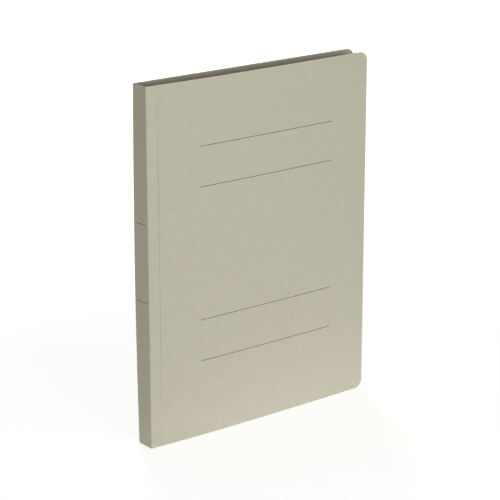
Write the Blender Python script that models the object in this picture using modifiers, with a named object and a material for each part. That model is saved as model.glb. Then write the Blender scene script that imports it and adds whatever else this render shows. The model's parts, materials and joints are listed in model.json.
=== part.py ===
"""A flat file folder for A4 sheets: a creased paperboard cover with a two-prong fastener inside.

The folder stands closed on its lower edges. X runs from the spine to the fore edge, Y from the front cover
to the back cover, and Z up. The origin is in the middle of the footprint. Lengths are in metres.
"""

import math

import bmesh
import bpy
from mathutils import Vector

# Cover sheet
FOLDER_HEIGHT = 0.307  # lower edge to upper edge
FOLDER_WIDTH = 0.231  # spine's outer face to fore edge
SPINE_DEPTH = 0.018  # front cover's outer face to back cover's outer face
COVER_BOARD = 0.0005  # thickness of the cover's board
CORNER_RADIUS = 0.008  # rounded corners at the fore edge
SCORE_INSET = 0.0105  # spine's outer face to the scored line on the front cover

# Clearances
SEAT_GAP = 0.0003  # between pieces that lie on each other, pass through each other or meet at a crease
SLIDER_START = 0.0014  # between the tip of a folded strap and its slider, when the slider is open

# Binding strip
FASTENER_INSET = 0.020  # spine's outer face to the line of the prongs
HOLE_PITCH = 0.080  # between the two prongs
STRIP_BOARD = 0.0005  # thickness of the strip's board
STRIP_MARGIN = 0.004  # spine's outer face to the strip's near edge
STRIP_END = 0.028  # strip beyond each end of the fastener's base

# Fastener
BASE_WIDTH = 0.010
BASE_THICKNESS = 0.0005
BASE_OVERHANG = 0.012  # base beyond the middle of each prong
STRAP_WIDTH = 0.005
STRAP_THICKNESS = 0.0006
STRAP_LENGTH = 0.012  # from the fold to the tip
STRAP_TIP_RADIUS = 0.002

# Compressor bar
BAR_WIDTH = 0.012
BAR_PLATE = 0.0006  # thickness of the wide upper plate
BAR_RIB_WIDTH = 0.007
BAR_RIB_HEIGHT = 0.0012  # rib under the plate
BAR_OVERHANG = 0.016  # bar beyond the middle of each prong
BAR_END_RADIUS = 0.0024  # rounded ends of the plate
BAR_LIFT = 0.009  # travel of the bar while the straps rise to stand upright

# Sliders
SLIDER_LENGTH = 0.008
SLIDER_WALL = 0.0006
SLIDER_LIP = 0.0005  # thickness of the lips that hook under the bar's plate

# Roundness and working values
ROUND_SEGMENTS = 6  # faces in each rounded corner
FOLD_STEPS = 90  # angles at which a rising strap is tried against its slot
WELD_DISTANCE = 1e-6
CUT_MARGIN = 0.002  # cutters reach this far past what they cut

# Places that follow from the sizes
SPINE_X = -FOLDER_WIDTH / 2
FORE_X = FOLDER_WIDTH / 2
FRONT_Y = -SPINE_DEPTH / 2
BACK_Y = SPINE_DEPTH / 2
MIDDLE_Z = FOLDER_HEIGHT / 2
SCORE_X = SPINE_X + SCORE_INSET
FASTENER_X = SPINE_X + FASTENER_INSET
BASE_BOTTOM_Y = BACK_Y - COVER_BOARD - SEAT_GAP
BASE_TOP_Y = BASE_BOTTOM_Y - BASE_THICKNESS
CHANNEL_TOP_Y = BASE_TOP_Y - SEAT_GAP - STRIP_BOARD
BAR_BOTTOM_Y = CHANNEL_TOP_Y - SEAT_GAP
PLATE_BOTTOM_Y = BAR_BOTTOM_Y - BAR_RIB_HEIGHT
BAR_TOP_Y = PLATE_BOTTOM_Y - BAR_PLATE
STRAP_BOTTOM_Y = BAR_TOP_Y - SEAT_GAP
STRAP_TOP_Y = STRAP_BOTTOM_Y - STRAP_THICKNESS
SLIDER_ROOF_Y = STRAP_TOP_Y - SEAT_GAP
LEG_TOP_Y = BAR_TOP_Y + SEAT_GAP
BASE_LENGTH = HOLE_PITCH + 2 * BASE_OVERHANG
FOLD_OFFSET = STRAP_THICKNESS / 2 + SEAT_GAP  # from a leg's middle to its strap's fold line
PRONG_SIDES = {"upper": 1, "lower": -1}  # direction along Z from the middle of the folder

# Colours, with red, green, blue and alpha, and roughness of the finishes
COVER_FINISH = {"color": (0.47, 0.45, 0.35, 1.0), "roughness": 0.85}
STRIP_FINISH = {"color": (0.42, 0.40, 0.31, 1.0), "roughness": 0.9}
FASTENER_FINISH = {"color": (0.74, 0.73, 0.69, 1.0), "roughness": 0.45}
BAR_FINISH = {"color": (0.70, 0.69, 0.65, 1.0), "roughness": 0.45}
SLIDER_FINISH = {"color": (0.40, 0.40, 0.38, 1.0), "roughness": 0.4}


def new_collection(name):
    """Add an empty collection to the scene."""
    collection = bpy.data.collections.new(name)
    bpy.context.scene.collection.children.link(collection)
    return collection


def new_material(name, color, roughness):
    """Make a non-metallic Principled material."""
    material = bpy.data.materials.new(name)
    material.use_nodes = True
    shader = material.node_tree.nodes["Principled BSDF"]
    shader.inputs["Base Color"].default_value = color
    shader.inputs["Roughness"].default_value = roughness
    shader.inputs["Metallic"].default_value = 0.0
    material.diffuse_color = color
    return material


def prism(name, outline, low_z, high_z, origin, collection):
    """Stand an outline, drawn in plan, from low_z to high_z, in an object whose origin is the given point."""
    curve = bpy.data.curves.new(name + "_outline", "CURVE")
    curve.dimensions = "2D"
    curve.fill_mode = "BOTH"
    curve.extrude = (high_z - low_z) / 2
    spline = curve.splines.new("POLY")
    spline.points.add(len(outline) - 1)
    for point, (x, y) in zip(spline.points, outline):
        point.co = (x - origin[0], y - origin[1], 0.0, 1.0)
    spline.use_cyclic_u = True
    drawn = bpy.data.objects.new(name + "_outline", curve)
    collection.objects.link(drawn)
    depsgraph = bpy.context.evaluated_depsgraph_get()
    mesh = bpy.data.meshes.new_from_object(drawn.evaluated_get(depsgraph))
    bpy.data.objects.remove(drawn)
    mesh.name = name
    mesh.shade_flat()
    shape = bmesh.new()
    shape.from_mesh(mesh)
    bmesh.ops.remove_doubles(shape, verts=shape.verts, dist=WELD_DISTANCE)
    bmesh.ops.translate(shape, verts=shape.verts, vec=(0.0, 0.0, (low_z + high_z) / 2 - origin[2]))
    bmesh.ops.recalc_face_normals(shape, faces=shape.faces)
    shape.to_mesh(mesh)
    shape.free()
    piece = bpy.data.objects.new(name, mesh)
    piece.location = origin
    collection.objects.link(piece)
    return piece


def rectangle(low_x, high_x, low_y, high_y):
    """Corners of a rectangle in plan."""
    return [(low_x, low_y), (high_x, low_y), (high_x, high_y), (low_x, high_y)]


def round_corners(piece, radius, is_corner):
    """Round the edges that run along Y and whose middle, in world places, passes the test."""
    mesh = piece.data
    weights = mesh.attributes.new("bevel_weight_edge", "FLOAT", "EDGE")
    for edge in mesh.edges:
        first, second = (mesh.vertices[index].co + piece.location for index in edge.vertices)
        run = second - first
        along_y = abs(run.y) > abs(run.x) and abs(run.y) > abs(run.z)
        if along_y and is_corner((first + second) / 2):
            weights.data[edge.index].value = 1.0
    bevel = piece.modifiers.new("rounded_corners", "BEVEL")
    bevel.limit_method = "WEIGHT"
    bevel.width = radius
    bevel.segments = ROUND_SEGMENTS


def combine(piece, tool, operation):
    """Cut a tool out of a piece, or join it to the piece, and keep the tool out of sight."""
    tool.hide_render = True
    tool.display_type = "WIRE"
    change = piece.modifiers.new(operation.lower() + "_" + tool.name, "BOOLEAN")
    change.operation = operation
    change.solver = "EXACT"
    change.object = tool


def finish(piece, material):
    """Give a piece its material."""
    piece.data.materials.clear()
    piece.data.materials.append(material)


def mitred_spine():
    """Spine panel's outline, mitred at both creases so that it opens against neither cover."""
    back_off = SEAT_GAP / math.sqrt(2)
    inner_x = SPINE_X + COVER_BOARD
    return [
        (SPINE_X, FRONT_Y + back_off),
        (inner_x, FRONT_Y + COVER_BOARD + back_off),
        (inner_x, BACK_Y - COVER_BOARD - back_off),
        (SPINE_X, BACK_Y - back_off),
    ]


def mitred_panel(outer_y, inner_y, far_x):
    """Outline of a panel that leaves the spine at a mitred crease and ends square at far_x."""
    near_x = SPINE_X + SEAT_GAP / math.sqrt(2)
    return [(near_x, outer_y), (far_x, outer_y), (far_x, inner_y), (near_x + COVER_BOARD, inner_y)]


def at_fore_corner(point):
    """True at the two corners of a cover that lie on the fore edge."""
    return point.x > FORE_X - CORNER_RADIUS


def build_cover(parts):
    """The cover sheet's four panels, each with its origin on the crease that it turns about."""
    height = (0.0, FOLDER_HEIGHT)
    rear_crease = Vector((SPINE_X, BACK_Y, MIDDLE_Z))
    front_crease = Vector((SPINE_X, FRONT_Y, MIDDLE_Z))
    score = Vector((SCORE_X, FRONT_Y, MIDDLE_Z))
    inner_front_y = FRONT_Y + COVER_BOARD
    back_outline = mitred_panel(BACK_Y, BACK_Y - COVER_BOARD, FORE_X)
    back = prism("back_cover", back_outline, *height, rear_crease, parts)
    round_corners(back, CORNER_RADIUS, at_fore_corner)
    spine = prism("spine", mitred_spine(), *height, rear_crease, parts)
    strip_outline = mitred_panel(FRONT_Y, inner_front_y, SCORE_X - SEAT_GAP / 2)
    strip = prism("front_hinge_strip", strip_outline, *height, front_crease, parts)
    front_outline = rectangle(SCORE_X + SEAT_GAP / 2, FORE_X, FRONT_Y, inner_front_y)
    front = prism("front_cover", front_outline, *height, score, parts)
    round_corners(front, CORNER_RADIUS, at_fore_corner)
    board = new_material("cover_board", **COVER_FINISH)
    for panel in (back, spine, strip, front):
        finish(panel, board)


def strip_outline():
    """Binding strip's outline: flat edges on the back cover and a raised channel over the fastener's base."""
    channel = BASE_WIDTH / 2 + SEAT_GAP
    edge = FASTENER_INSET - STRIP_MARGIN
    edge_top_y = BASE_BOTTOM_Y - STRIP_BOARD
    roof_y = BASE_TOP_Y - SEAT_GAP
    right_side = [
        (channel + STRIP_BOARD, CHANNEL_TOP_Y),
        (channel + STRIP_BOARD, edge_top_y),
        (edge, edge_top_y),
        (edge, BASE_BOTTOM_Y),
        (channel, BASE_BOTTOM_Y),
        (channel, roof_y),
    ]
    left_side = [(-x, y) for x, y in reversed(right_side)]
    return [(FASTENER_X + x, y) for x, y in right_side + left_side]


def prong_z(side):
    """Height of a prong's middle."""
    return MIDDLE_Z + PRONG_SIDES[side] * HOLE_PITCH / 2


def prong_block(name, side, width, near, far, low_y, high_y, collection):
    """Block round a prong, reaching from near to far towards the middle of the folder."""
    inward = -PRONG_SIDES[side]
    low_z, high_z = sorted((prong_z(side) + inward * near, prong_z(side) + inward * far))
    plan = rectangle(FASTENER_X - width / 2, FASTENER_X + width / 2, low_y, high_y)
    middle = Vector((FASTENER_X, (low_y + high_y) / 2, (low_z + high_z) / 2))
    return prism(name, plan, low_z, high_z, middle, collection)


def build_binding_strip(parts, tools):
    """Board strip that holds the fastener's base on the back cover, slotted for the two legs."""
    half = BASE_LENGTH / 2 + STRIP_END
    middle = Vector((FASTENER_X, BASE_BOTTOM_Y, MIDDLE_Z))
    strip = prism("binding_strip", strip_outline(), MIDDLE_Z - half, MIDDLE_Z + half, middle, parts)
    slot_half = STRAP_THICKNESS / 2 + SEAT_GAP
    slot_width = STRAP_WIDTH + 2 * SEAT_GAP
    for side in PRONG_SIDES:
        slot = prong_block(
            side + "_strip_slot",
            side,
            slot_width,
            -slot_half,
            slot_half,
            CHANNEL_TOP_Y - CUT_MARGIN,
            BASE_BOTTOM_Y + CUT_MARGIN,
            tools,
        )
        combine(strip, slot, "DIFFERENCE")
    finish(strip, new_material("strip_board", **STRIP_FINISH))


def build_fastener(parts, tools):
    """Fastener moulding: a flat base with two legs, and the two straps that fold down on the bar."""
    plastic = new_material("fastener_plastic", **FASTENER_FINISH)
    plan = rectangle(FASTENER_X - BASE_WIDTH / 2, FASTENER_X + BASE_WIDTH / 2, BASE_TOP_Y, BASE_BOTTOM_Y)
    middle = Vector((FASTENER_X, BASE_BOTTOM_Y, MIDDLE_Z))
    low_z, high_z = MIDDLE_Z - BASE_LENGTH / 2, MIDDLE_Z + BASE_LENGTH / 2
    base = prism("fastener_base", plan, low_z, high_z, middle, parts)
    root_y = (BASE_TOP_Y + BASE_BOTTOM_Y) / 2
    for side in PRONG_SIDES:
        half = STRAP_THICKNESS / 2
        leg = prong_block(side + "_leg", side, STRAP_WIDTH, -half, half, LEG_TOP_Y, root_y, tools)
        combine(base, leg, "UNION")
    finish(base, plastic)
    for side in PRONG_SIDES:
        build_strap(side, plastic, parts)


def build_strap(side, plastic, parts):
    """One strap, folded towards the middle of the bar, with its origin on its fold line."""
    inward = -PRONG_SIDES[side]
    fold = Vector((FASTENER_X, BAR_TOP_Y, prong_z(side) + inward * FOLD_OFFSET))
    tip_z = fold.z + inward * STRAP_LENGTH
    plan = rectangle(FASTENER_X - STRAP_WIDTH / 2, FASTENER_X + STRAP_WIDTH / 2, STRAP_TOP_Y, STRAP_BOTTOM_Y)
    strap = prism(side + "_strap", plan, min(fold.z, tip_z), max(fold.z, tip_z), fold, parts)
    round_corners(strap, STRAP_TIP_RADIUS, lambda point: abs(point.z - tip_z) < STRAP_TIP_RADIUS)
    finish(strap, plastic)


def strap_reach():
    """Furthest inward from the fold line that a rising strap meets the bar's upper face as the bar lifts."""
    reach = 0.0
    for step in range(1, FOLD_STEPS + 1):
        angle = math.pi / 2 * step / FOLD_STEPS
        lift = BAR_LIFT * step / FOLD_STEPS
        along = min((lift - SEAT_GAP * math.cos(angle)) / math.sin(angle), STRAP_LENGTH)
        reach = max(reach, along * math.cos(angle) - SEAT_GAP * math.sin(angle))
    return reach


def at_plate_corner(point):
    """True at the corners of the bar's plate, outside its rib."""
    return abs(point.x - FASTENER_X) > (BAR_WIDTH + BAR_RIB_WIDTH) / 4


def build_bar(parts, tools):
    """Compressor bar: a plate on a rib, with a slot for each prong."""
    plate, rib = BAR_WIDTH / 2, BAR_RIB_WIDTH / 2
    right_side = [(plate, BAR_TOP_Y), (plate, PLATE_BOTTOM_Y), (rib, PLATE_BOTTOM_Y), (rib, BAR_BOTTOM_Y)]
    left_side = [(-x, y) for x, y in reversed(right_side)]
    outline = [(FASTENER_X + x, y) for x, y in right_side + left_side]
    half = HOLE_PITCH / 2 + BAR_OVERHANG
    middle = Vector((FASTENER_X, BAR_TOP_Y, MIDDLE_Z))
    bar = prism("compressor_bar", outline, MIDDLE_Z - half, MIDDLE_Z + half, middle, parts)
    round_corners(bar, BAR_END_RADIUS, at_plate_corner)
    slot_end = FOLD_OFFSET + strap_reach() + SEAT_GAP
    for side in PRONG_SIDES:
        slot = prong_block(
            side + "_bar_slot",
            side,
            STRAP_WIDTH + 2 * SEAT_GAP,
            -FOLD_OFFSET,
            slot_end,
            BAR_TOP_Y - CUT_MARGIN,
            BAR_BOTTOM_Y + CUT_MARGIN,
            tools,
        )
        combine(bar, slot, "DIFFERENCE")
    finish(bar, new_material("bar_plastic", **BAR_FINISH))


def build_sliders(parts):
    """Two keepers that wrap the bar's plate and slide outwards over the ends of the folded straps."""
    plastic = new_material("slider_plastic", **SLIDER_FINISH)
    inner = BAR_WIDTH / 2 + SEAT_GAP
    outer = inner + SLIDER_WALL
    lip_edge = BAR_RIB_WIDTH / 2 + SEAT_GAP
    lip_top_y = PLATE_BOTTOM_Y + SEAT_GAP
    lip_bottom_y = lip_top_y + SLIDER_LIP
    right_side = [
        (outer, SLIDER_ROOF_Y - SLIDER_WALL),
        (outer, lip_bottom_y),
        (lip_edge, lip_bottom_y),
        (lip_edge, lip_top_y),
        (inner, lip_top_y),
        (inner, SLIDER_ROOF_Y),
    ]
    left_side = [(-x, y) for x, y in reversed(right_side)]
    outline = [(FASTENER_X + x, y) for x, y in right_side + left_side]
    near = FOLD_OFFSET + STRAP_LENGTH + SLIDER_START
    for side in PRONG_SIDES:
        inward = -PRONG_SIDES[side]
        ends = sorted(prong_z(side) + inward * reach for reach in (near, near + SLIDER_LENGTH))
        middle = Vector((FASTENER_X, SLIDER_ROOF_Y, sum(ends) / 2))
        slider = prism(side + "_slider", outline, *ends, middle, parts)
        finish(slider, plastic)


def build_folder():
    """Clear the scene and build every piece of the folder."""
    for stale in list(bpy.data.objects):
        bpy.data.objects.remove(stale)
    parts = new_collection("flat_file_folder")
    tools = new_collection("shaping_tools")
    build_cover(parts)
    build_binding_strip(parts, tools)
    build_fastener(parts, tools)
    build_bar(parts, tools)
    build_sliders(parts)


build_folder()
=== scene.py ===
"""Looks of the flat file folder: creased board cover, printed rules, plastic fastener, light and camera.

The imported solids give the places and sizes. X runs from the spine to the fore edge, Y from the front
cover to the back cover, and Z up. Lengths are in metres.
"""

import json
import math

import bmesh
import bpy
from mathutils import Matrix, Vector


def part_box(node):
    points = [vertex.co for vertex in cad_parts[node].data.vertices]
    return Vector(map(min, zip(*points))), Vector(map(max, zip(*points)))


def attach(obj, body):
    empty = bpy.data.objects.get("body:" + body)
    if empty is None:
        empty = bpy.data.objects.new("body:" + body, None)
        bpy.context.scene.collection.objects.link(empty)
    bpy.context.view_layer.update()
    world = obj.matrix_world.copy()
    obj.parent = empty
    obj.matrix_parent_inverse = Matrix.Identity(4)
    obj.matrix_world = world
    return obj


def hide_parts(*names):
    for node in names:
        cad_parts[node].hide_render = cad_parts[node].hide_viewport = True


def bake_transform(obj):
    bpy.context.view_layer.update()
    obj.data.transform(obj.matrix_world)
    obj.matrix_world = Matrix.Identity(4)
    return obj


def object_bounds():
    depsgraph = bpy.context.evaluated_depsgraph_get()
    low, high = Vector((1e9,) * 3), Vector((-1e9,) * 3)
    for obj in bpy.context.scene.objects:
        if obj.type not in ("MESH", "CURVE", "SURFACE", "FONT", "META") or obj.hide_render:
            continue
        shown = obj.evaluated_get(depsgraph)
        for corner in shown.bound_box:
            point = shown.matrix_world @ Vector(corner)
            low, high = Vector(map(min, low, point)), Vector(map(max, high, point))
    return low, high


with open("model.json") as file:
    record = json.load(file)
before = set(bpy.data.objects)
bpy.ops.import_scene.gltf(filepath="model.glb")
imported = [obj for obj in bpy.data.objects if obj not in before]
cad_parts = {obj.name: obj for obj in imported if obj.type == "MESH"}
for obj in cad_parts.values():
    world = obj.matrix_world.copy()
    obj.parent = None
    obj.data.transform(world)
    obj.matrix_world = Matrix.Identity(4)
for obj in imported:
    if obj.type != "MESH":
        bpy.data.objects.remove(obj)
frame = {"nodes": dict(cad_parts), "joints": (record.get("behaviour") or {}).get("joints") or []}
cad_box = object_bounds()

# Camera
CAMERA_AZIMUTH = -37.97  # degrees from straight in front, towards the spine
CAMERA_ELEVATION = 17.35  # degrees above the horizon
CAMERA_DISTANCE = 1.614
CAMERA_AIM = (-0.0071, -0.0031, 0.1509)
CAMERA_LENS = 137.8  # millimetres
SENSOR_WIDTH = 36.0  # millimetres
CAMERA_CLIP = 0.05  # nearest distance that the camera shows

# Cover sheet
FOLD_RADIUS = 0.0006  # outer radius of the two folds at the spine
FOLD_REACH = 0.002  # from a fold's corner to the panels beside it
FOLD_STEPS = 8  # faces round a fold
SCORE_REACH = 0.002  # from the scored line to the panels beside it
SCORE_WIDTH = 0.0011
SCORE_DEPTH = 0.00038
SCORE_END_SHARE = 0.4  # share of the depth at both ends of the line, where it is pressed less
SCORE_FADE = 0.07  # from an end of the line to its full depth
SCORE_RIDGE = 0.8  # share of the depth that shows as a ridge on the inner face
SCORE_STEPS = 12  # faces across the pressed line
BOW_HEIGHT = 0.0022  # how far the front cover swells
BOW_PEAK = 0.080  # from the front fold to the top of the swell
BULGE = 0.0012  # how far the rear fold stands out, halfway up
BULGE_FADE = 0.007  # along the back cover, from the rear fold to where the bulge has gone
BULGE_COLUMNS = 7  # over which the bulge fades
EDGE_ROUNDING = 0.00009  # softened cut edges, finer than the first step round a corner
CORNER_STEPS = 10  # faces round a corner of a cover
PANEL_COLUMNS = 30
PANEL_ROWS = 14
SPINE_COLUMNS = 8
HINGE_COLUMNS = 6
FLAT_COLUMNS = 4  # on each flat side of a fold or of the pressed line

# Printed rules
RULE_WIDTH = 0.0005
RULE_LIFT = 0.000015  # ink above the board
RULE_SINK = 0.000005  # ink in the board
RULE_COLUMNS = 24
FRONT_RULE_SPAN = (0.0505, 0.1915)  # ends of the rules, from the spine's outer face
FRONT_RULE_HEIGHTS = (0.2515, 0.2173, 0.1030, 0.0668)
SPINE_RULE_LENGTH = 0.0125
SPINE_RULE_HEIGHTS = (0.1930, 0.1267)

# Binding strip
GLUE_GAP = 0.00003  # between the strip's edges and the back cover
CHANNEL_SHOULDER = 0.0014  # width of each slope beside the raised channel
STRIP_ROUNDING = 0.0001
STRIP_COLUMNS = 9  # on each slope and on each glued edge
STRIP_ROWS = 24

# Fastener base and prongs
BASE_THICKNESS = 0.0005
BASE_COLUMNS = 5
BASE_ROWS = 12
SLOT_CLEARANCE = 0.0003  # between a prong and the slots that it passes through
PRONG_ROUNDING = 0.00009
TIP_RADIUS = 0.002
TIP_STEPS = 5  # faces round a corner of a tip
LEG_ROWS = 3
BEND_STEPS = 10  # faces round a prong's bend
GROOVE_COUNT = 5
GROOVE_PITCH = 0.0015
GROOVE_WIDTH = 0.0005
GROOVE_DEPTH = 0.00012
GROOVE_START = 0.0030  # from the fold to the first groove
GROOVE_ROWS = 5  # over each groove

# Compressor bar
BAR_PLATE = 0.0006
BAR_RIB_HALF = 0.0035  # half the rib's width
BAR_DRAFT = 0.00025  # slope of the rib's sides
BAR_END_RADIUS = 0.0024
BAR_END_STEPS = 5  # faces round a corner of the bar
BAR_ROUNDING = 0.0001
BAR_ROWS = 24
RAIL_INNER = 0.0047  # from the bar's middle to the foot of each raised rail
RAIL_OUTER = 0.0057
RAIL_SLOPE = 0.0002
RAIL_HEIGHT = 0.00025
RAIL_END = 0.0010  # length over which a rail runs out, before the bar's rounded ends

# Sliders
SLIDER_WALL = 0.0006
SLIDER_LIP = 0.0005
SLIDER_LIP_EDGE = 0.0038  # from the bar's middle to the edge of each lip
SLIDER_CORNER = 0.0005
SLIDER_CORNER_POINTS = 5
SLIDER_ROUNDING = 0.0001
GRIP_COUNT = 5
GRIP_PITCH = 0.0013
GRIP_WIDTH = 0.0005
GRIP_HEIGHT = 0.00028
GRIP_INSET = 0.0012  # from the slider's side to the end of its grip ridges
GRIP_PROFILE = ((-1.0, 0.0), (-0.5, 1.0), (0.5, 1.0), (1.0, 0.0))  # place in widths, share of the height

# Working values
SEAM_ROOM = 1e-6  # how far from a seam a point still counts as on it
POINT_DIGITS = 5  # decimals to which places on the solids are read
POINT_ROOM = 1e-5  # how far from a place a point of a solid still counts as on it
END_MARGIN = 1.5  # corner radii from an end to the next row
RIM_STEPS = 2  # faces round a softened edge
SHARP_EDGE = math.radians(60.0)  # edges steeper than this are rims
SMOOTH_EDGE = math.radians(20.0)  # edges flatter than this are shaded smooth
BOARD_PLACE = "board_place"  # attribute that holds a point's place on its flat board

# Colours, linear
BOARD_COLOR = (0.485, 0.470, 0.384)
# paler colour of the cut edges and the rim beside them: partly wear, partly a painted highlight
EDGE_WEAR_AND_HIGHLIGHT_COLOR = (0.600, 0.585, 0.500)
STRIP_COLOR = (0.430, 0.415, 0.330)
INK_COLOR = (0.062, 0.052, 0.036)
INK_THIN = (0.125, 0.112, 0.084)
FASTENER_COLOR = (0.740, 0.730, 0.690)
BAR_COLOR = (0.700, 0.690, 0.650)
SLIDER_COLOR = (0.400, 0.400, 0.380)
FLOOR_COLOR = (0.860, 0.850, 0.815)
AMBIENT_COLOR = (1.0, 0.985, 0.915)
WHITE = (1.0, 1.0, 1.0)

# Board finish. Scales are patches to the metre, and tones are shares of the colour
MOST_NOISE = (0.3, 0.7)  # range that holds most of a noise's values
CLOUD_SCALE = 130.0
CLOUD_TONE = 0.022
PULP_SCALE = 700.0
PULP_TONE = 0.062
DARK_HAIRS = (24.0, 0.00016, 0.0034)  # angle in degrees, width and length of a fibre
DARK_HAIR_TONE = -0.10
PALE_HAIRS = (-31.0, 0.00018, 0.0028)
PALE_HAIR_TONE = 0.09
HAIR_NOISE = (0.60, 0.72)  # noise values between which a fibre fades in
SPECK_SCALE = 420.0
SPECK_CHOICE = (0.80, 0.82)  # cells whose own value is above these have a speck
SPECK_SIZE = (0.05, 0.11)  # distances from a cell's point between which its speck fades out
SPECK_TONE = -0.16
# painted shade: how much darker the board's colour is made along the pressed line
SCORE_PAINTED_SHADE = -0.04
WEAR_AND_HIGHLIGHT_REACH = (0.0012, 0.0001)  # from the sheet's outline to where the paler rim starts and is full; the rim is partly wear, partly a painted highlight
WEAR_AND_HIGHLIGHT_SCALE = 900.0
WEAR_AND_HIGHLIGHT_NOISE = (0.25, 0.75)
WEAR_AND_HIGHLIGHT_RANGE = (0.35, 1.0)  # least and most of the paler rim, wear and painted highlight, along the outline
WEAR_AND_HIGHLIGHT_SHARE = 0.45  # of the paler edge colour where the wear and painted highlight are full
BOARD_ROUGHNESS = (0.80, 0.94)
BOARD_SPECULAR = 0.3
FINE_SCALE = 3200.0
PULP_RELIEF = 0.6
FINE_RELIEF = 0.5
BOARD_BUMP = (0.22, 0.00005)  # strength and depth

# Ink finish
INK_SCALE = 2600.0
INK_NOISE = (0.35, 0.7)  # noise values between which the ink gets thinner
INK_ROUGHNESS = (0.55, 0.8)
INK_SPECULAR = 0.2
INK_BUMP = (0.15, 0.00002)

# Plastic finish
FLOW_SCALE = 260.0
FLOW_STRETCH = (1.0, 1.0, 0.25)  # which makes the flow marks longer along Z
FLOW_DISTORTION = 0.6
FLOW_TONE = 0.035
GRAIN_SCALE = 5200.0
GRAIN_TONE = 0.015
SCUFFS = (78.0, 0.00012, 0.0030)  # angle in degrees, width and length of a scuff
SCUFF_NOISE = (0.62, 0.70)  # noise values between which a scuff fades in
SCUFF_TONE = 0.05
SCUFF_ROUGHNESS = 0.14
PLASTIC_ROUGHNESS = (0.36, 0.46)
GRAIN_RELIEF = 0.5
SCUFF_RELIEF = -0.4
PLASTIC_BUMP = (0.2, 0.00003)

# Light
AMBIENT_STRENGTH = 0.40
LAMPS = (  # name, azimuth and elevation in degrees, distance, width, height and power
    ("key_lamp", 28.0, 5.0, 2.0, 0.8, 0.3, 6.8),
    ("near_lamp", -12.0, 14.0, 0.85, 0.4, 0.3, 1.95),
    ("fill_lamp", -45.0, 7.0, 1.2, 0.5, 0.3, 1.05),
    ("back_lamp", 155.0, 20.0, 2.0, 0.8, 0.8, 16.0),
)

# Floor
FLOOR_SIZE = 12.0
FLOOR_CELLS = 4  # along each side
FLOOR_DROP = 0.0002  # floor below the folder's lower edges
FLOOR_WHITE = 0.72  # brightness that the floor shows near the folder, besides its own shading
SHADOW_REACH = (0.30, 0.75)  # distances from the middle between which the floor turns plain white
SHADOW_SHARE = 0.43  # how much of the floor's own shading the camera sees
GLOW_CENTRE = (0.04, -0.045)  # X and Y of the brightest place of the floor
GLOW_STRETCH = 2.6  # how much longer the glow is along X than along Y
GLOW_REACH = 0.15  # along Y, from the brightest place to where the glow has faded
GLOW_STRENGTH = 0.68

# Places that follow from the frame
FRONT, BACK = -1.0, 1.0  # direction along Y of the two covers
JOINTS = {joint["name"]: joint for joint in frame["joints"]}
front_low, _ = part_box("front_cover")
spine_low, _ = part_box("spine")
back_low, back_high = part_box("back_cover")
HEIGHT = back_high.z
SPINE_X = spine_low.x
FORE_X = back_high.x
FRONT_Y = front_low.y
BACK_Y = back_high.y
BOARD = back_high.y - back_low.y
MIDDLE_Y = (FRONT_Y + BACK_Y) / 2
HALF_DEPTH = (BACK_Y - FRONT_Y) / 2
SCORE_X = JOINTS["front_score"]["pos_m"][0]
back_points = [point.co for point in frame["nodes"]["back_cover"].data.vertices]
FORE_HIGH = max(point.z for point in back_points if point.x > FORE_X - POINT_ROOM)
CORNER_RADIUS = HEIGHT - FORE_HIGH
SPINE_FLAT = HALF_DEPTH - FOLD_RADIUS  # from the spine's middle to the start of a fold
MIDDLE_RADIUS = FOLD_RADIUS - BOARD / 2  # of a fold, in the middle of the board
FLARE = math.atan(2 * BOW_HEIGHT / BOW_PEAK)  # how far the front fold stays open

strip_low, strip_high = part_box("binding_strip")
base_low, base_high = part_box("fastener_base")
bar_low, bar_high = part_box("compressor_bar")
strap_low, strap_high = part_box("upper_strap")
FASTENER_X = (bar_low.x + bar_high.x) / 2
BASE_HALF = (base_high.x - base_low.x) / 2
SLOT_HALF = (strap_high.x - strap_low.x) / 2 + SLOT_CLEARANCE
STRIP_BOARD = BOARD  # the strip is cut from the same board


def spread(low, high, count):
    """Evenly spaced values from low to high."""
    return [low + (high - low) * step / (count - 1) for step in range(count)]


def clamped(value):
    """A value kept between 0 and 1."""
    return min(max(value, 0.0), 1.0)


def smooth_step(value):
    """Ease from 0 to 1, level at both ends."""
    share = clamped(value)
    return share * share * (3.0 - 2.0 * share)


def smooth_slope(share):
    """Slope of the smooth step, for a share from 0 to 1."""
    return 6.0 * share * (1.0 - share)


# Flat slabs, which are cut and softened flat and then bent into place


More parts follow.
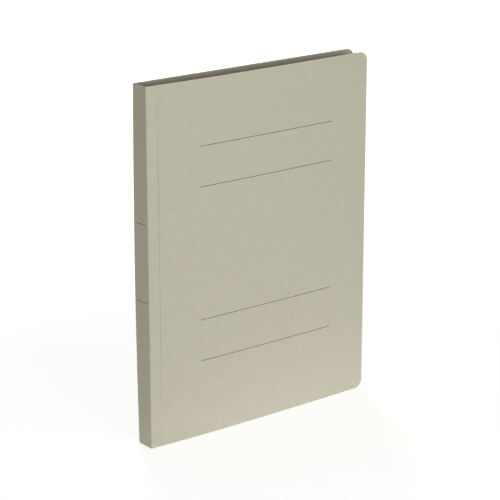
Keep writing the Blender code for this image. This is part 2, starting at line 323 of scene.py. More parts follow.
def slab(columns, rows, rises, ends=None, is_hole=None):
    """Closed slab over a grid, in flat places (across, rise, along).

    rises gives the lower and upper face at a place, ends gives the lowest and highest row of a column,
    and cells whose middle is_hole holds for are left out.
    """
    shape = bmesh.new()
    lower, upper = [], []
    for across in columns:
        first, last = ends(across) if ends else (rows[0], rows[-1])
        places = [min(max(row, first), last) for row in rows]
        faces = [rises(across, along) for along in places]
        lower.append([shape.verts.new((across, low, along)) for along, (low, _) in zip(places, faces)])
        upper.append([shape.verts.new((across, high, along)) for along, (_, high) in zip(places, faces)])
    cells = set()
    for column in range(len(columns) - 1):
        for row in range(len(rows) - 1):
            across = (columns[column] + columns[column + 1]) / 2
            along = (rows[row] + rows[row + 1]) / 2
            if is_hole is None or not is_hole(across, along):
                cells.add((column, row))
    for column, row in sorted(cells):
        corners = [(column, row), (column + 1, row), (column + 1, row + 1), (column, row + 1)]
        shape.faces.new([upper[a][b] for a, b in corners])
        shape.faces.new([lower[a][b] for a, b in reversed(corners)])
        neighbours = [(column, row - 1), (column + 1, row), (column, row + 1), (column - 1, row)]
        for side, neighbour in enumerate(neighbours):
            if neighbour not in cells:
                (a, b), (c, d) = corners[side], corners[(side + 1) % len(corners)]
                shape.faces.new([upper[c][d], upper[a][b], lower[a][b], lower[c][d]])
    loose = [point for point in shape.verts if not point.link_faces]
    bmesh.ops.delete(shape, geom=loose, context="VERTS")
    bmesh.ops.recalc_face_normals(shape, faces=shape.faces)
    return shape


def even_rises(low, high):
    """Lower and upper face of a slab of even thickness."""
    return lambda across, along: (low, high)


def soften_rims(shape, width, seams=()):
    """Round a shape's sharp edges, apart from those that lie on a seam with another piece."""
    rims = []
    for edge in shape.edges:
        first, second = (point.co.x for point in edge.verts)
        on_seam = any(abs(first - seam) < SEAM_ROOM and abs(second - seam) < SEAM_ROOM for seam in seams)
        if edge.calc_face_angle(0.0) > SHARP_EDGE and not on_seam:
            rims.append(edge)
    bmesh.ops.bevel(
        shape,
        geom=rims,
        offset=width,
        offset_type="OFFSET",
        segments=RIM_STEPS,
        profile=0.5,
        affect="EDGES",
        clamp_overlap=True,
    )
    bmesh.ops.dissolve_degenerate(shape, dist=SEAM_ROOM, edges=shape.edges)


def piece_from(shape, name, bend, material):
    """Object made of a flat shape, bent into place. Each point keeps its flat place as an attribute."""
    kept = shape.verts.layers.float_vector.new(BOARD_PLACE)
    for point in shape.verts:
        point[kept] = point.co
        point.co = bend(*point.co)
    if shape.calc_volume(signed=True) < 0.0:
        bmesh.ops.reverse_faces(shape, faces=shape.faces)
    mesh = bpy.data.meshes.new(name)
    shape.to_mesh(mesh)
    shape.free()
    mesh.shade_smooth()
    mesh.set_sharp_from_angle(angle=SMOOTH_EDGE)
    mesh.materials.append(material)
    piece = bpy.data.objects.new(name, mesh)
    bpy.context.scene.collection.objects.link(piece)
    return piece


def corner_cut(inset, radius):
    """How far a rounded corner cuts in, at a distance from the edge that it leads to."""
    if inset >= radius:
        return 0.0
    return radius - math.sqrt(max(radius * radius - (radius - inset) ** 2, 0.0))


def corner_columns(radius, steps):
    """Distances from the edge at which a rounded corner has points, from the edge inwards."""
    turns = spread(math.pi / 2, 0.0, steps + 1)
    return [radius * (1.0 - math.sin(turn)) for turn in turns]


# Shape of the folded cover sheet


def fold_turn(side):
    """Angle that a fold turns through."""
    return math.pi / 2 - (FLARE if side == FRONT else 0.0)


def fold_end(side):
    """Where a fold ends and its cover starts: place along the sheet from the spine's middle, X and Y."""
    turn = fold_turn(side)
    reach = SPINE_FLAT + MIDDLE_RADIUS * turn
    x = SPINE_X + FOLD_RADIUS - MIDDLE_RADIUS * math.cos(turn)
    y = MIDDLE_Y + side * (SPINE_FLAT + MIDDLE_RADIUS * math.sin(turn))
    return reach, x, y


def sheet_place(x, side):
    """Place along the flat sheet of a point of a cover. The front cover has places above 0."""
    reach, start_x, _ = fold_end(side)
    return -side * (reach + x - start_x)


def bow(distance):
    """Height and slope of the front cover's swell, at a distance from the front fold."""
    fall = FORE_X - fold_end(FRONT)[1] - BOW_PEAK
    if distance < BOW_PEAK:
        share, reach = distance / BOW_PEAK - 1.0, BOW_PEAK
    else:
        share, reach = (distance - BOW_PEAK) / fall, fall
    return BOW_HEIGHT * (1.0 - share * share), -2.0 * BOW_HEIGHT * share / reach


def bulge(along, z):
    """How far the sheet about the rear fold stands out, towards the back and towards the side alike."""
    height_share = 2.0 * z / HEIGHT - 1.0
    if along > -SPINE_FLAT:
        width_share = max(0.5 - along / (2.0 * SPINE_FLAT), 0.0)
    else:
        width_share = 1.0 - smooth_step((-along - fold_end(BACK)[0]) / BULGE_FADE)
    return BULGE * math.sqrt(0.5) * (1.0 - height_share * height_share) * width_share


def folded(along, rise, z):
    """Bend a point of the flat sheet round the spine. Rise goes outwards from the middle of the board."""
    side = FRONT if along > 0 else BACK
    reach = abs(along)
    fold_reach, start_x, start_y = fold_end(side)
    if reach <= SPINE_FLAT:
        x, y = SPINE_X + BOARD / 2, MIDDLE_Y + side * reach
        out_x, out_y = -1.0, 0.0
    elif reach <= fold_reach:
        angle = (reach - SPINE_FLAT) / MIDDLE_RADIUS
        out_x, out_y = -math.cos(angle), side * math.sin(angle)
        x = SPINE_X + FOLD_RADIUS + MIDDLE_RADIUS * out_x
        y = MIDDLE_Y + side * SPINE_FLAT + MIDDLE_RADIUS * out_y
    else:
        x = start_x + reach - fold_reach
        height, slope = bow(x - start_x) if side == FRONT else (0.0, 0.0)
        y = start_y + side * height
        length = math.hypot(1.0, slope)
        out_x, out_y = -slope / length, side / length
    out = bulge(along, z)
    return Vector((x + out_x * rise - out, y + out_y * rise + out, z))


def board_rises(across, along):
    """Inner and outer face of the board, from its middle."""
    return -BOARD / 2, BOARD / 2


def scored_rises(across, along):
    """Inner and outer face about the pressed line, which is a groove outside and a ridge inside."""
    offset = abs(across - sheet_place(SCORE_X, FRONT))
    fade = smooth_step(min(along, HEIGHT - along) / SCORE_FADE)
    pressed = SCORE_DEPTH * (SCORE_END_SHARE + (1.0 - SCORE_END_SHARE) * fade)
    depth = pressed * (1.0 - smooth_step(2.0 * offset / SCORE_WIDTH))
    return -BOARD / 2 - SCORE_RIDGE * depth, BOARD / 2 - depth


# Cover and printed rules


def sheet_rows():
    """Heights of the rows that all panels and folds of the cover share."""
    margin = END_MARGIN * CORNER_RADIUS
    return [0.0, *spread(margin, HEIGHT - margin, PANEL_ROWS), HEIGHT]


def sheet_piece(name, columns, seams, material, ends=None, rises=board_rises):
    """One panel or fold of the cover sheet."""
    shape = slab(columns, sheet_rows(), rises, ends)
    soften_rims(shape, EDGE_ROUNDING, seams)
    piece = piece_from(shape, name, folded, material)
    return piece


def cover_panel(name, side, near_x, material):
    """A whole cover from near_x to its fore edge, where its corners are rounded."""
    seam, fore = sheet_place(near_x, side), sheet_place(FORE_X, side)
    rounded = [fore + side * inset for inset in corner_columns(CORNER_RADIUS, CORNER_STEPS)]
    beside = spread(seam, seam - side * BULGE_FADE, BULGE_COLUMNS)
    between = spread(rounded[-1], beside[-1], PANEL_COLUMNS)
    columns = sorted(rounded[:-1] + between[:-1] + beside)

    def ends(along):
        cut = corner_cut(abs(fore - along), CORNER_RADIUS)
        return cut, HEIGHT - cut

    return sheet_piece(name, columns, (seam,), material, ends)


def fold_columns(side):
    """Places across a fold, from the spine panel to the cover's panel."""
    reach, _, _ = fold_end(side)
    seam = abs(sheet_place(SPINE_X + FOLD_REACH, side))
    flat = spread(HALF_DEPTH - FOLD_REACH, SPINE_FLAT, FLAT_COLUMNS)
    turned = spread(SPINE_FLAT, reach, FOLD_STEPS + 1)
    panel = spread(reach, seam, FLAT_COLUMNS)
    return sorted(-side * place for place in flat + turned[1:] + panel[1:])


def score_columns(low_x, high_x):
    """Places across the pressed line and the flat board on both sides of it."""
    groove = spread(SCORE_X - SCORE_WIDTH / 2, SCORE_X + SCORE_WIDTH / 2, SCORE_STEPS + 1)
    before = spread(low_x, groove[0], FLAT_COLUMNS)
    after = spread(groove[-1], high_x, FLAT_COLUMNS)
    return [sheet_place(x, FRONT) for x in before[:-1] + groove + after[1:]]


def build_cover(board):
    """Panels of the cover, each on its body, and the folds and the scored line that join them."""
    back = cover_panel("back_cover_board", BACK, SPINE_X + FOLD_REACH, board)
    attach(back, "back")
    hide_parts("back_cover")

    front = cover_panel("front_cover_board", FRONT, SCORE_X + SCORE_REACH, board)
    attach(front, "front")
    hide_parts("front_cover")

    edge = HALF_DEPTH - FOLD_REACH
    spine = sheet_piece("spine_board", spread(-edge, edge, SPINE_COLUMNS), (-edge, edge), board)
    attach(spine, "spine")
    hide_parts("spine")

    near = sheet_place(SPINE_X + FOLD_REACH, FRONT)
    far = sheet_place(SCORE_X - SCORE_REACH, FRONT)
    strip = sheet_piece("front_hinge_board", spread(near, far, HINGE_COLUMNS), (near, far), board)
    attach(strip, "hinge_strip")
    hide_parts("front_hinge_strip")

    for name, side, bodies in (
        ("rear_fold", BACK, ("spine", "back")),
        ("front_fold", FRONT, ("spine", "hinge_strip")),
    ):
        columns = fold_columns(side)
        fold = sheet_piece(name, columns, (columns[0], columns[-1]), board)
        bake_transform(fold)

    low_x, high_x = SCORE_X - SCORE_REACH, SCORE_X + SCORE_REACH
    columns = score_columns(low_x, high_x)
    score = sheet_piece("score_line", columns, (columns[0], columns[-1]), board, rises=scored_rises)
    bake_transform(score)


def rule_piece(name, first, last, height, body, ink):
    """Printed rule: a film of ink on the cover's outer face, between two places of the flat sheet."""
    columns = spread(first, last, RULE_COLUMNS)
    rows = [height - RULE_WIDTH / 2, height + RULE_WIDTH / 2]
    shape = slab(columns, rows, even_rises(BOARD / 2 - RULE_SINK, BOARD / 2 + RULE_LIFT))
    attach(piece_from(shape, name, folded, ink), body)


def build_rules(ink):
    """Four rules on the front cover and two across the spine."""
    first, last = (sheet_place(SPINE_X + reach, FRONT) for reach in FRONT_RULE_SPAN)
    for number, height in enumerate(FRONT_RULE_HEIGHTS, start=1):
        rule_piece(f"front_rule_{number}", first, last, height, "front", ink)
    half = SPINE_RULE_LENGTH / 2
    for number, height in enumerate(SPINE_RULE_HEIGHTS, start=1):
        rule_piece(f"spine_rule_{number}", -half, half, height, "spine", ink)


# Binding strip and fastener


def slot_spans(node):
    """Heights at which the two slots of a solid start and end."""
    heights = set()
    for point in frame["nodes"][node].data.vertices:
        if abs(abs(point.co.x - FASTENER_X) - SLOT_HALF) < POINT_ROOM:
            heights.add(round(point.co.z, POINT_DIGITS))
    ordered = sorted(heights)
    return [(ordered[0], ordered[1]), (ordered[-2], ordered[-1])]


def slot_test(spans):
    """Test for a place, across and along, that lies in one of the slots."""

    def in_slot(across, along):
        return abs(across) < SLOT_HALF and any(low < along < high for low, high in spans)

    return in_slot


def slotted_rows(low, high, spans, count):
    """Rows from low to high that also lie on the ends of the slots, with none close beside those ends."""
    edges = [edge for span in spans for edge in span]
    even = []
    for row in spread(low, high, count):
        if min(abs(row - edge) for edge in edges) > SLOT_HALF / 2:
            even.append(row)
    return sorted(even + edges)


def channelled(across, rise, z):
    """Bend a point of the flat binding strip into its raised channel over the fastener's base."""
    flange_y = BACK_Y - BOARD - GLUE_GAP - STRIP_BOARD / 2
    roof_y = strip_low.y + STRIP_BOARD / 2
    share = clamped((abs(across) - BASE_HALF) / CHANNEL_SHOULDER)
    y = roof_y + (flange_y - roof_y) * smooth_step(share)
    slope = math.copysign(smooth_slope(share) * (flange_y - roof_y) / CHANNEL_SHOULDER, across)
    length = math.hypot(1.0, slope)
    out = bulge(sheet_place(FASTENER_X + across, BACK), z)
    return Vector((FASTENER_X + across + rise * slope / length - out, y - rise / length + out, z))


def build_binding_strip(board):
    """Board strip glued over the fastener's base, with a slot for each prong."""
    half = (strip_high.x - strip_low.x) / 2
    slope = spread(BASE_HALF, BASE_HALF + CHANNEL_SHOULDER, STRIP_COLUMNS)
    glued = spread(slope[-1], half, STRIP_COLUMNS)
    right = [SLOT_HALF, *slope, *glued[1:]]
    columns = sorted([-place for place in right] + [0.0] + right)
    spans = slot_spans("binding_strip")
    rows = slotted_rows(strip_low.z, strip_high.z, spans, STRIP_ROWS)
    rises = even_rises(-STRIP_BOARD / 2, STRIP_BOARD / 2)
    shape = slab(columns, rows, rises, is_hole=slot_test(spans))
    soften_rims(shape, STRIP_ROUNDING)
    strip = piece_from(shape, "binding_strip_board", channelled, board)
    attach(strip, "back")
    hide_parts("binding_strip")


def build_base(plastic):
    """Flat base of the fastener, under the binding strip."""
    columns = spread(-BASE_HALF, BASE_HALF, BASE_COLUMNS)
    rows = spread(base_low.z, base_high.z, BASE_ROWS)
    shape = slab(columns, rows, even_rises(0.0, BASE_THICKNESS))
    soften_rims(shape, PRONG_ROUNDING)

    def seat(across, rise, z):
        return Vector((FASTENER_X + across, base_high.y - rise, z))

    base = piece_from(shape, "fastener_base_plate", seat, plastic)
    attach(base, "back")
    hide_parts("fastener_base")


def build_prong(side, outward, plastic):
    """One prong: a leg from the base, the bend at its fold, and the strap that lies on the bar."""
    low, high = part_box(side + "_strap")
    _, axis_y, axis_z = JOINTS[side + "_strap_fold"]["pos_m"]
    thickness = high.y - low.y
    half = (high.x - low.x) / 2
    radius = axis_y - (low.y + high.y) / 2
    leg_length = base_high.y - BASE_THICKNESS - axis_y
    strap_start = leg_length + radius * math.pi / 2
    tip = strap_start + (high.z - low.z)
    grooves = [strap_start + GROOVE_START + number * GROOVE_PITCH for number in range(GROOVE_COUNT)]

    def rises(across, along):
        near = min(abs(along - groove) for groove in grooves)
        dip = GROOVE_DEPTH * (1.0 - smooth_step(2.0 * near / GROOVE_WIDTH))
        return -thickness / 2, thickness / 2 - dip

    def ends(across):
        return 0.0, tip - corner_cut(half - abs(across), TIP_RADIUS)

    def bent(across, rise, along):
        angle = min(max((along - leg_length) / radius, 0.0), math.pi / 2)
        straight = min(along - leg_length, 0.0) + max(along - strap_start, 0.0)
        reach = radius + rise
        y = axis_y - reach * math.sin(angle) - straight * math.cos(angle)
        z = axis_z + outward * (reach * math.cos(angle) - straight * math.sin(angle))
        return Vector((FASTENER_X + across, y, z))

    rounded = [half - inset for inset in corner_columns(TIP_RADIUS, TIP_STEPS)]
    columns = sorted(set([-place for place in rounded] + rounded))
    rows = spread(0.0, leg_length, LEG_ROWS)
    rows += spread(leg_length, strap_start, BEND_STEPS + 1)[1:]
    for groove in grooves:
        rows += spread(groove - GROOVE_WIDTH / 2, groove + GROOVE_WIDTH / 2, GROOVE_ROWS)
    rows += [tip - TIP_RADIUS - PRONG_ROUNDING, tip]
    shape = slab(columns, rows, rises, ends)
    soften_rims(shape, PRONG_ROUNDING)
    prong = piece_from(shape, side + "_prong", bent, plastic)
    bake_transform(prong)
    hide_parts(side + "_strap")


def build_bar(plastic):
    """Compressor bar: a plate with two raised rails on a rib, slotted for the prongs."""
    half = (bar_high.x - bar_low.x) / 2
    depth = bar_high.y - bar_low.y
    margin = END_MARGIN * BAR_END_RADIUS

    def rises(across, along):
        rib = 1.0 - clamped((abs(across) - BAR_RIB_HALF + BAR_DRAFT) / BAR_DRAFT)
        climb = min(abs(across) - RAIL_INNER, RAIL_OUTER - abs(across)) / RAIL_SLOPE
        run_out = (min(along - bar_low.z, bar_high.z - along) - margin) / RAIL_END
        rail = RAIL_HEIGHT * clamped(climb) * clamped(run_out)
        return -BAR_PLATE - rib * (depth - BAR_PLATE), rail

    def ends(across):
        cut = corner_cut(half - abs(across), BAR_END_RADIUS)
        return bar_low.z + cut, bar_high.z - cut

    def seat(across, rise, z):
        return Vector((FASTENER_X + across, bar_low.y - rise, z))

    rails = [RAIL_INNER, RAIL_INNER + RAIL_SLOPE, RAIL_OUTER - RAIL_SLOPE, RAIL_OUTER]
    rounded = [half - inset for inset in corner_columns(BAR_END_RADIUS, BAR_END_STEPS)]
    right = [SLOT_HALF, BAR_RIB_HALF - BAR_DRAFT, BAR_RIB_HALF, *rails, *rounded]
    columns = sorted([-place for place in right] + [0.0] + right)
    spans = slot_spans("compressor_bar")
    low, high = bar_low.z + margin, bar_high.z - margin
    middle_rows = slotted_rows(low + RAIL_END, high - RAIL_END, spans, BAR_ROWS)
    rows = [bar_low.z, low, *middle_rows, high, bar_high.z]
    shape = slab(columns, rows, rises, ends, slot_test(spans))
    soften_rims(shape, BAR_ROUNDING)
    bar = piece_from(shape, "compressor_bar_moulding", seat, plastic)
    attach(bar, "bar")
    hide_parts("compressor_bar")


def slider_outline(half, low_y, high_y, ridge):
    """Section of a slider, across and Y, with its roof raised by the height of a grip ridge."""
    inner = half - SLIDER_WALL
    grip = half - GRIP_INSET
    right = [(0.0, low_y - ridge), (grip, low_y - ridge), (grip + GRIP_HEIGHT, low_y)]
    for turn in spread(0.0, math.pi / 2, SLIDER_CORNER_POINTS):
        across = half - SLIDER_CORNER * (1.0 - math.sin(turn))
        right.append((across, low_y + SLIDER_CORNER * (1.0 - math.cos(turn))))
    right += [
        (half, high_y - SLIDER_CORNER),
        (half - SLIDER_CORNER, high_y),
        (SLIDER_LIP_EDGE, high_y),
        (SLIDER_LIP_EDGE, high_y - SLIDER_LIP),
        (inner, high_y - SLIDER_LIP),
        (inner, low_y + SLIDER_WALL),
        (0.0, low_y + SLIDER_WALL),
    ]
    left = [(-across, y) for across, y in reversed(right[1:-1])]
    return right + left


def grip_rows(low, high):
    """Heights along a slider and the ridge height at each, with a chamfer on both sides of a ridge."""
    middle = (low + high) / 2
    rows = [(low, 0.0)]
    for number in range(GRIP_COUNT):
        ridge = middle + (number - (GRIP_COUNT - 1) / 2) * GRIP_PITCH
        for offset, height in GRIP_PROFILE:
            rows.append((ridge + offset * GRIP_WIDTH, height * GRIP_HEIGHT))
    rows.append((high, 0.0))
    return rows


def as_drawn(x, y, z):
    """Leave a point where it is."""
    return Vector((x, y, z))


def build_slider(side, plastic):
    """One sliding keeper, with grip ridges across its roof."""
    low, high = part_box(side + "_slider")
    half = (high.x - low.x) / 2
    shape = bmesh.new()
    rings = []
    for z, ridge in grip_rows(low.z, high.z):
        section = slider_outline(half, low.y, high.y, ridge)
        rings.append([shape.verts.new((FASTENER_X + across, y, z)) for across, y in section])
    for ring, following in zip(rings, rings[1:]):
        for place in range(len(ring)):
            beside = (place + 1) % len(ring)
            shape.faces.new([ring[place], ring[beside], following[beside], following[place]])
    shape.faces.new(rings[0])
    shape.faces.new(reversed(rings[-1]))
    bmesh.ops.recalc_face_normals(shape, faces=shape.faces)
    soften_rims(shape, SLIDER_ROUNDING)
    slider = piece_from(shape, side + "_slider_moulding", as_drawn, plastic)
    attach(slider, side + "_slider")
    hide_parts(side + "_slider")


def build_fastener(plastic, bar_plastic, slider_plastic):
    """Every piece of the fastener."""
    build_base(plastic)
    build_bar(bar_plastic)
    for side, outward in (("upper", 1.0), ("lower", -1.0)):
        build_prong(side, outward, plastic)
        build_slider(side, slider_plastic)


# Finishes


def opaque(color):
    """A colour with an alpha of 1, or a socket as it is."""
    return color if isinstance(color, bpy.types.NodeSocket) else (*color, 1.0)


class Nodes:
    """A node tree, with one short call for each kind of node that the finishes and the stage use."""

    def __init__(self, tree):
        self.tree = tree

    def node(self, kind, inputs, **settings):
        """Add a node, set its options, and set or wire its inputs."""
        made = self.tree.nodes.new(kind)
        for name, value in settings.items():
            setattr(made, name, value)
        for key, value in inputs.items():
            self.feed(made.inputs[key], value)
        return made

    def feed(self, socket, value):
        """Wire a socket to another one, or set its own value."""
        if isinstance(value, bpy.types.NodeSocket):
            self.tree.links.new(value, socket)
        else:
            socket.default_value = value

    def calculate(self, operation, first, second=0.0):
        """Result of an operation on two values."""
        return self.node("ShaderNodeMath", {0: first, 1: second}, operation=operation).outputs[0]

    def times(self, value, factor):
        """Product of two values."""
        return self.calculate("MULTIPLY", value, factor)

    def total(self, *values):
        """Sum of several values."""
        result = values[0]
        for value in values[1:]:
            result = self.calculate("ADD", result, value)
        return result

    def vector(self, operation, first, second=(0.0, 0.0, 0.0)):
        """Result of an operation on two vectors."""
        return self.node("ShaderNodeVectorMath", {0: first, 1: second}, operation=operation).outputs[0]

    def length(self, vector):
        """Length of a vector."""
        return self.node("ShaderNodeVectorMath", {0: vector}, operation="LENGTH").outputs["Value"]

    def remap(self, value, source, target, easing="LINEAR"):
        """Move a value from one range to another, and keep it there."""
        inputs = {
            "Value": value,
            "From Min": source[0],
            "From Max": source[1],
            "To Min": target[0],
            "To Max": target[1],
        }
        made = self.node("ShaderNodeMapRange", inputs, clamp=True, interpolation_type=easing)
        return made.outputs[0]


class Finish(Nodes):
    """A material and the nodes that its surface is made with."""

    def __init__(self, name):
        self.material = bpy.data.materials.new(name)
        self.material.use_nodes = True
        super().__init__(self.material.node_tree)
        self.shader = self.tree.nodes["Principled BSDF"]

    def set(self, name, value):
        """Wire one of the shader's sockets, or set its own value."""
        self.feed(self.shader.inputs[name], value)

    def board_place(self):
        """Place on the flat board."""
        return self.node("ShaderNodeAttribute", {}, attribute_name=BOARD_PLACE).outputs["Vector"]

    def noise(self, place, scale, detail=3.0, roughness=0.55, distortion=0.0):
        """Fractal noise from 0 to 1, with scale patches to the metre."""
        inputs = {
            "Vector": place,
            "Scale": scale,
            "Detail": detail,
            "Roughness": roughness,
            "Distortion": distortion,
        }
        return self.node("ShaderNodeTexNoise", inputs).outputs[0]

    def tone(self, noise, strength):
        """Tone that follows a noise, as much above 0 as below it."""
        return self.remap(noise, MOST_NOISE, (-strength, strength))

    def mix(self, share, first, second):
        """Mix two colours."""
        inputs = {"Factor": share, 6: opaque(first), 7: opaque(second)}
        return self.node("ShaderNodeMix", inputs, data_type="RGBA").outputs[2]

    def tinted(self, color, tone):
        """A colour made lighter or darker by a tone about 1."""
        return self.node("ShaderNodeVectorMath", {0: color, "Scale": tone}, operation="SCALE").outputs[0]

    def hairs(self, place, form, cut):
        """Mask of short fibres of one angle, width and length, where a stretched noise passes the cut."""
        angle, width, length = form
        inputs = {"Vector": place, "Angle": math.radians(angle)}
        turned = self.node("ShaderNodeVectorRotate", inputs, rotation_type="Y_AXIS").outputs[0]
        stretched = self.vector("MULTIPLY", turned, (1.0 / width, 1.0 / width, 1.0 / length))
        return self.remap(self.noise(stretched, 1.0, detail=1.0), cut, (0.0, 1.0))

    def bump(self, height, strength, distance):
        """Wire a height to the shader's normal."""
        inputs = {"Height": height, "Strength": strength, "Distance": distance}
        self.set("Normal", self.node("ShaderNodeBump", inputs).outputs[0])


def sheet_edge_wear_and_painted_highlight(finish, place):
    """Mask that rises from 0 to 1 in the last millimetre before the cover sheet's rounded outline."""
    # the paler rim that this mask gives is partly wear and partly a painted highlight
    half_length = sheet_place(FORE_X, FRONT)
    inner = (half_length - CORNER_RADIUS, HEIGHT, HEIGHT / 2 - CORNER_RADIUS)  # every rise is well inside
    centred = finish.vector("SUBTRACT", place, (0.0, 0.0, HEIGHT / 2))
    beyond = finish.vector("SUBTRACT", finish.vector("ABSOLUTE", centred), inner)
    reach = finish.length(finish.vector("MAXIMUM", beyond))
    start, full = (CORNER_RADIUS - inset for inset in WEAR_AND_HIGHLIGHT_REACH)
    return finish.remap(reach, (start, full), (0.0, 1.0))


def score_painted_shade(finish, place):
    """Painted shade along the pressed line, which darkens the board's colour in the crease."""
    along = finish.node("ShaderNodeSeparateXYZ", {"Vector": place}).outputs["X"]
    offset = finish.calculate("SUBTRACT", along, sheet_place(SCORE_X, FRONT))
    return finish.remap(finish.calculate("ABSOLUTE", offset), (0.0, SCORE_WIDTH / 2), (SCORE_PAINTED_SHADE, 0.0))


def speck_tone(finish, place):
    """Tone of the dark specks, which only some cells of a scatter have."""
    cells = finish.node("ShaderNodeTexVoronoi", {"Vector": place, "Scale": SPECK_SCALE})
    chosen = finish.remap(cells.outputs["Color"], SPECK_CHOICE, (0.0, 1.0))
    dots = finish.remap(cells.outputs["Distance"], SPECK_SIZE, (SPECK_TONE, 0.0))
    return finish.times(chosen, dots)


def board_finish(name, color, wear_and_highlight_color, wear_and_painted_light):
    """Uncoated paperboard: cloudy pulp, crossing fibres, a few specks, painted crease shade, paler worn
    and painted-highlight edges.
    """
    finish = Finish(name)
    place = finish.board_place()
    cloud = finish.noise(place, CLOUD_SCALE, detail=4.0)
    pulp = finish.noise(place, PULP_SCALE, detail=4.0, roughness=0.65)
    dark_hairs = finish.hairs(place, DARK_HAIRS, HAIR_NOISE)
    pale_hairs = finish.hairs(place, PALE_HAIRS, HAIR_NOISE)
    hair_tone = finish.total(
        finish.times(dark_hairs, DARK_HAIR_TONE),
        finish.times(pale_hairs, PALE_HAIR_TONE),
    )
    tone = finish.total(
        finish.tone(cloud, CLOUD_TONE),
        finish.tone(pulp, PULP_TONE),
        hair_tone,
        speck_tone(finish, place),
        1.0,
    )
    # the switch turns on the painted shade of the pressed line and the paler rim of wear and painted
    # highlight
    if wear_and_painted_light:
        # painted shade: the colour is made darker along the pressed line
        tone = finish.calculate("ADD", tone, score_painted_shade(finish, place))
    base = finish.tinted(color, tone)
    if wear_and_painted_light:
        # paler rim along the outline: partly wear, partly a painted highlight
        ragged = finish.remap(finish.noise(place, WEAR_AND_HIGHLIGHT_SCALE, detail=2.0), WEAR_AND_HIGHLIGHT_NOISE, WEAR_AND_HIGHLIGHT_RANGE)
        wear_and_highlight = finish.times(sheet_edge_wear_and_painted_highlight(finish, place), ragged)
        base = finish.mix(finish.times(wear_and_highlight, WEAR_AND_HIGHLIGHT_SHARE), base, wear_and_highlight_color)
    finish.set("Base Color", base)
    finish.set("Roughness", finish.remap(pulp, MOST_NOISE, BOARD_ROUGHNESS))
    finish.set("Specular IOR Level", BOARD_SPECULAR)
    fine = finish.noise(place, FINE_SCALE, detail=2.0)
    height = finish.total(
        finish.times(pulp, PULP_RELIEF),
        finish.times(fine, FINE_RELIEF),
        dark_hairs,
        pale_hairs,
    )
    finish.bump(height, *BOARD_BUMP)
    return finish.material


def ink_finish():
    """Printed rule: dark ink, thinner where the board's fibres stand proud."""
    finish = Finish("rule_ink")
    place = finish.board_place()
    thin = finish.remap(finish.noise(place, INK_SCALE), INK_NOISE, (0.0, 1.0))
    finish.set("Base Color", finish.mix(thin, INK_COLOR, INK_THIN))
    finish.set("Roughness", finish.remap(thin, (0.0, 1.0), INK_ROUGHNESS))
    finish.set("Specular IOR Level", INK_SPECULAR)
    finish.bump(thin, *INK_BUMP)
    return finish.material


def plastic_finish(name, color):
    """Satin moulding: faint flow marks, a fine moulded grain and light scuffs."""
    finish = Finish(name)
    place = finish.node("ShaderNodeTexCoord", {}).outputs["Object"]
    stretched = finish.vector("MULTIPLY", place, FLOW_STRETCH)
    flow = finish.noise(stretched, FLOW_SCALE, distortion=FLOW_DISTORTION)
    grain = finish.noise(place, GRAIN_SCALE, detail=2.0)
    scuffs = finish.hairs(place, SCUFFS, SCUFF_NOISE)
    tone = finish.total(
        finish.tone(flow, FLOW_TONE),
        finish.tone(grain, GRAIN_TONE),
        finish.times(scuffs, SCUFF_TONE),
        1.0,
    )
    finish.set("Base Color", finish.tinted(color, tone))
    roughness = finish.remap(flow, MOST_NOISE, PLASTIC_ROUGHNESS)
    finish.set("Roughness", finish.total(roughness, finish.times(scuffs, SCUFF_ROUGHNESS)))
    height = finish.total(finish.times(grain, GRAIN_RELIEF), finish.times(scuffs, SCUFF_RELIEF))
    finish.bump(height, *PLASTIC_BUMP)
    return finish.material


# Stage


def direction(azimuth, elevation):
    """Unit vector from the object towards a place given by two angles in degrees."""
    turn, tilt = math.radians(azimuth), math.radians(elevation)
    return Vector((math.sin(turn) * math.cos(tilt), -math.cos(turn) * math.cos(tilt), math.sin(tilt)))


def seen_share(nodes):
    """Socket that is 1 for rays that show the background: camera, glossy and transmission rays."""
    path = nodes.node("ShaderNodeLightPath", {})
    seen = path.outputs["Is Camera Ray"]
    for name in ("Is Glossy Ray", "Is Transmission Ray"):
        seen = nodes.calculate("MAXIMUM", seen, path.outputs[name])
    return seen


def build_world():
    """Even light from all round, and a white background where it is seen."""
    world = bpy.data.worlds.new("studio")
    bpy.context.scene.world = world
    world.use_nodes = True
    world.node_tree.nodes.clear()
    nodes = Nodes(world.node_tree)
    inputs = {"Color": opaque(AMBIENT_COLOR), "Strength": AMBIENT_STRENGTH}
    ambient = nodes.node("ShaderNodeBackground", inputs).outputs[0]
    white = nodes.node("ShaderNodeBackground", {"Color": opaque(WHITE), "Strength": 1.0}).outputs[0]
    choice = nodes.node("ShaderNodeMixShader", {0: seen_share(nodes), 1: ambient, 2: white})
    nodes.node("ShaderNodeOutputWorld", {"Surface": choice.outputs[0]})


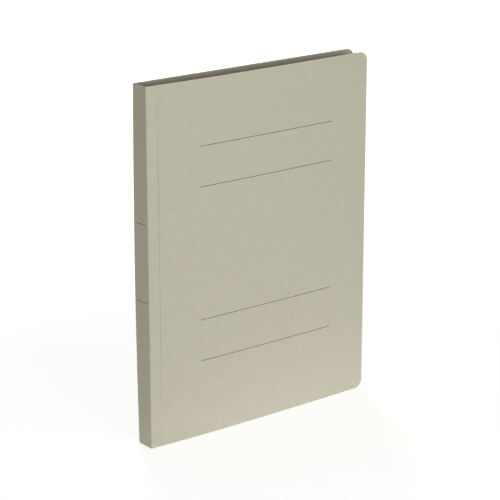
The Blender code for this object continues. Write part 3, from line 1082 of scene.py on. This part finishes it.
def floor_finish(floor_z):
    """Pale paper that glows a little in front of the folder, and is seen as white with a faint shadow."""
    finish = Finish("floor_paper")
    finish.tree.nodes.remove(finish.shader)
    place = finish.node("ShaderNodeNewGeometry", {}).outputs["Position"]
    from_glow = finish.vector("SUBTRACT", place, (*GLOW_CENTRE, floor_z))
    squeezed = finish.vector("MULTIPLY", from_glow, (1.0 / GLOW_STRETCH, 1.0, 1.0))
    fade = finish.remap(finish.length(squeezed), (0.0, GLOW_REACH), (GLOW_STRENGTH, 0.0), "SMOOTHSTEP")
    glow = finish.node("ShaderNodeEmission", {"Strength": fade}).outputs[0]
    paper = finish.node("ShaderNodeBsdfDiffuse", {"Color": opaque(FLOOR_COLOR)}).outputs[0]
    lit = finish.node("ShaderNodeAddShader", {0: glow, 1: paper}).outputs[0]
    whiter = finish.remap(finish.length(place), SHADOW_REACH, (FLOOR_WHITE, 1.0))
    white = finish.node("ShaderNodeEmission", {"Strength": whiter}).outputs[0]
    grey = (SHADOW_SHARE, SHADOW_SHARE, SHADOW_SHARE)
    shaded = finish.node("ShaderNodeBsdfDiffuse", {"Color": opaque(grey)}).outputs[0]
    shown = finish.node("ShaderNodeAddShader", {0: white, 1: shaded}).outputs[0]
    choice = finish.node("ShaderNodeMixShader", {0: seen_share(finish), 1: lit, 2: shown})
    finish.feed(finish.tree.nodes["Material Output"].inputs["Surface"], choice.outputs[0])
    return finish.material


def build_floor():
    """Pale floor under the folder."""
    mesh = bpy.data.meshes.new("floor")
    shape = bmesh.new()
    bmesh.ops.create_grid(shape, x_segments=FLOOR_CELLS, y_segments=FLOOR_CELLS, size=FLOOR_SIZE / 2)
    shape.to_mesh(mesh)
    shape.free()
    floor = bpy.data.objects.new("floor", mesh)
    floor.location.z = cad_box[0].z - FLOOR_DROP
    mesh.materials.append(floor_finish(floor.location.z))
    bpy.context.scene.collection.objects.link(floor)


def build_lamp(name, azimuth, elevation, distance, width, height, power):
    """Soft lamp that faces the folder's middle."""
    light = bpy.data.lights.new(name, "AREA")
    light.shape = "RECTANGLE"
    light.size = width
    light.size_y = height
    light.energy = power
    lamp = bpy.data.objects.new(name, light)
    away = direction(azimuth, elevation)
    lamp.location = Vector((0.0, 0.0, HEIGHT / 2)) + away * distance
    lamp.rotation_mode = "QUATERNION"
    lamp.rotation_quaternion = (-away).to_track_quat("-Z", "Y")
    bpy.context.scene.collection.objects.link(lamp)


def build_camera():
    """Camera at the photograph's viewing angle."""
    lens = bpy.data.cameras.new("camera")
    lens.lens = CAMERA_LENS
    lens.sensor_width = SENSOR_WIDTH
    lens.clip_start = CAMERA_CLIP
    camera = bpy.data.objects.new("camera", lens)
    away = direction(CAMERA_AZIMUTH, CAMERA_ELEVATION)
    camera.location = Vector(CAMERA_AIM) + away * CAMERA_DISTANCE
    camera.rotation_mode = "QUATERNION"
    camera.rotation_quaternion = (-away).to_track_quat("-Z", "Y")
    bpy.context.scene.collection.objects.link(camera)
    bpy.context.scene.camera = camera


def main():
    """Dress the folder and light it."""
    bpy.context.scene.view_settings.view_transform = "Standard"
    build_camera()
    build_world()
    build_floor()
    for lamp in LAMPS:
        build_lamp(*lamp)
    build_cover(board_finish("cover_board", BOARD_COLOR, EDGE_WEAR_AND_HIGHLIGHT_COLOR, wear_and_painted_light=True))
    build_rules(ink_finish())
    build_binding_strip(board_finish("strip_board", STRIP_COLOR, EDGE_WEAR_AND_HIGHLIGHT_COLOR, wear_and_painted_light=False))
    build_fastener(
        plastic_finish("fastener_plastic", FASTENER_COLOR),
        plastic_finish("bar_plastic", BAR_COLOR),
        plastic_finish("slider_plastic", SLIDER_COLOR),
    )


main()
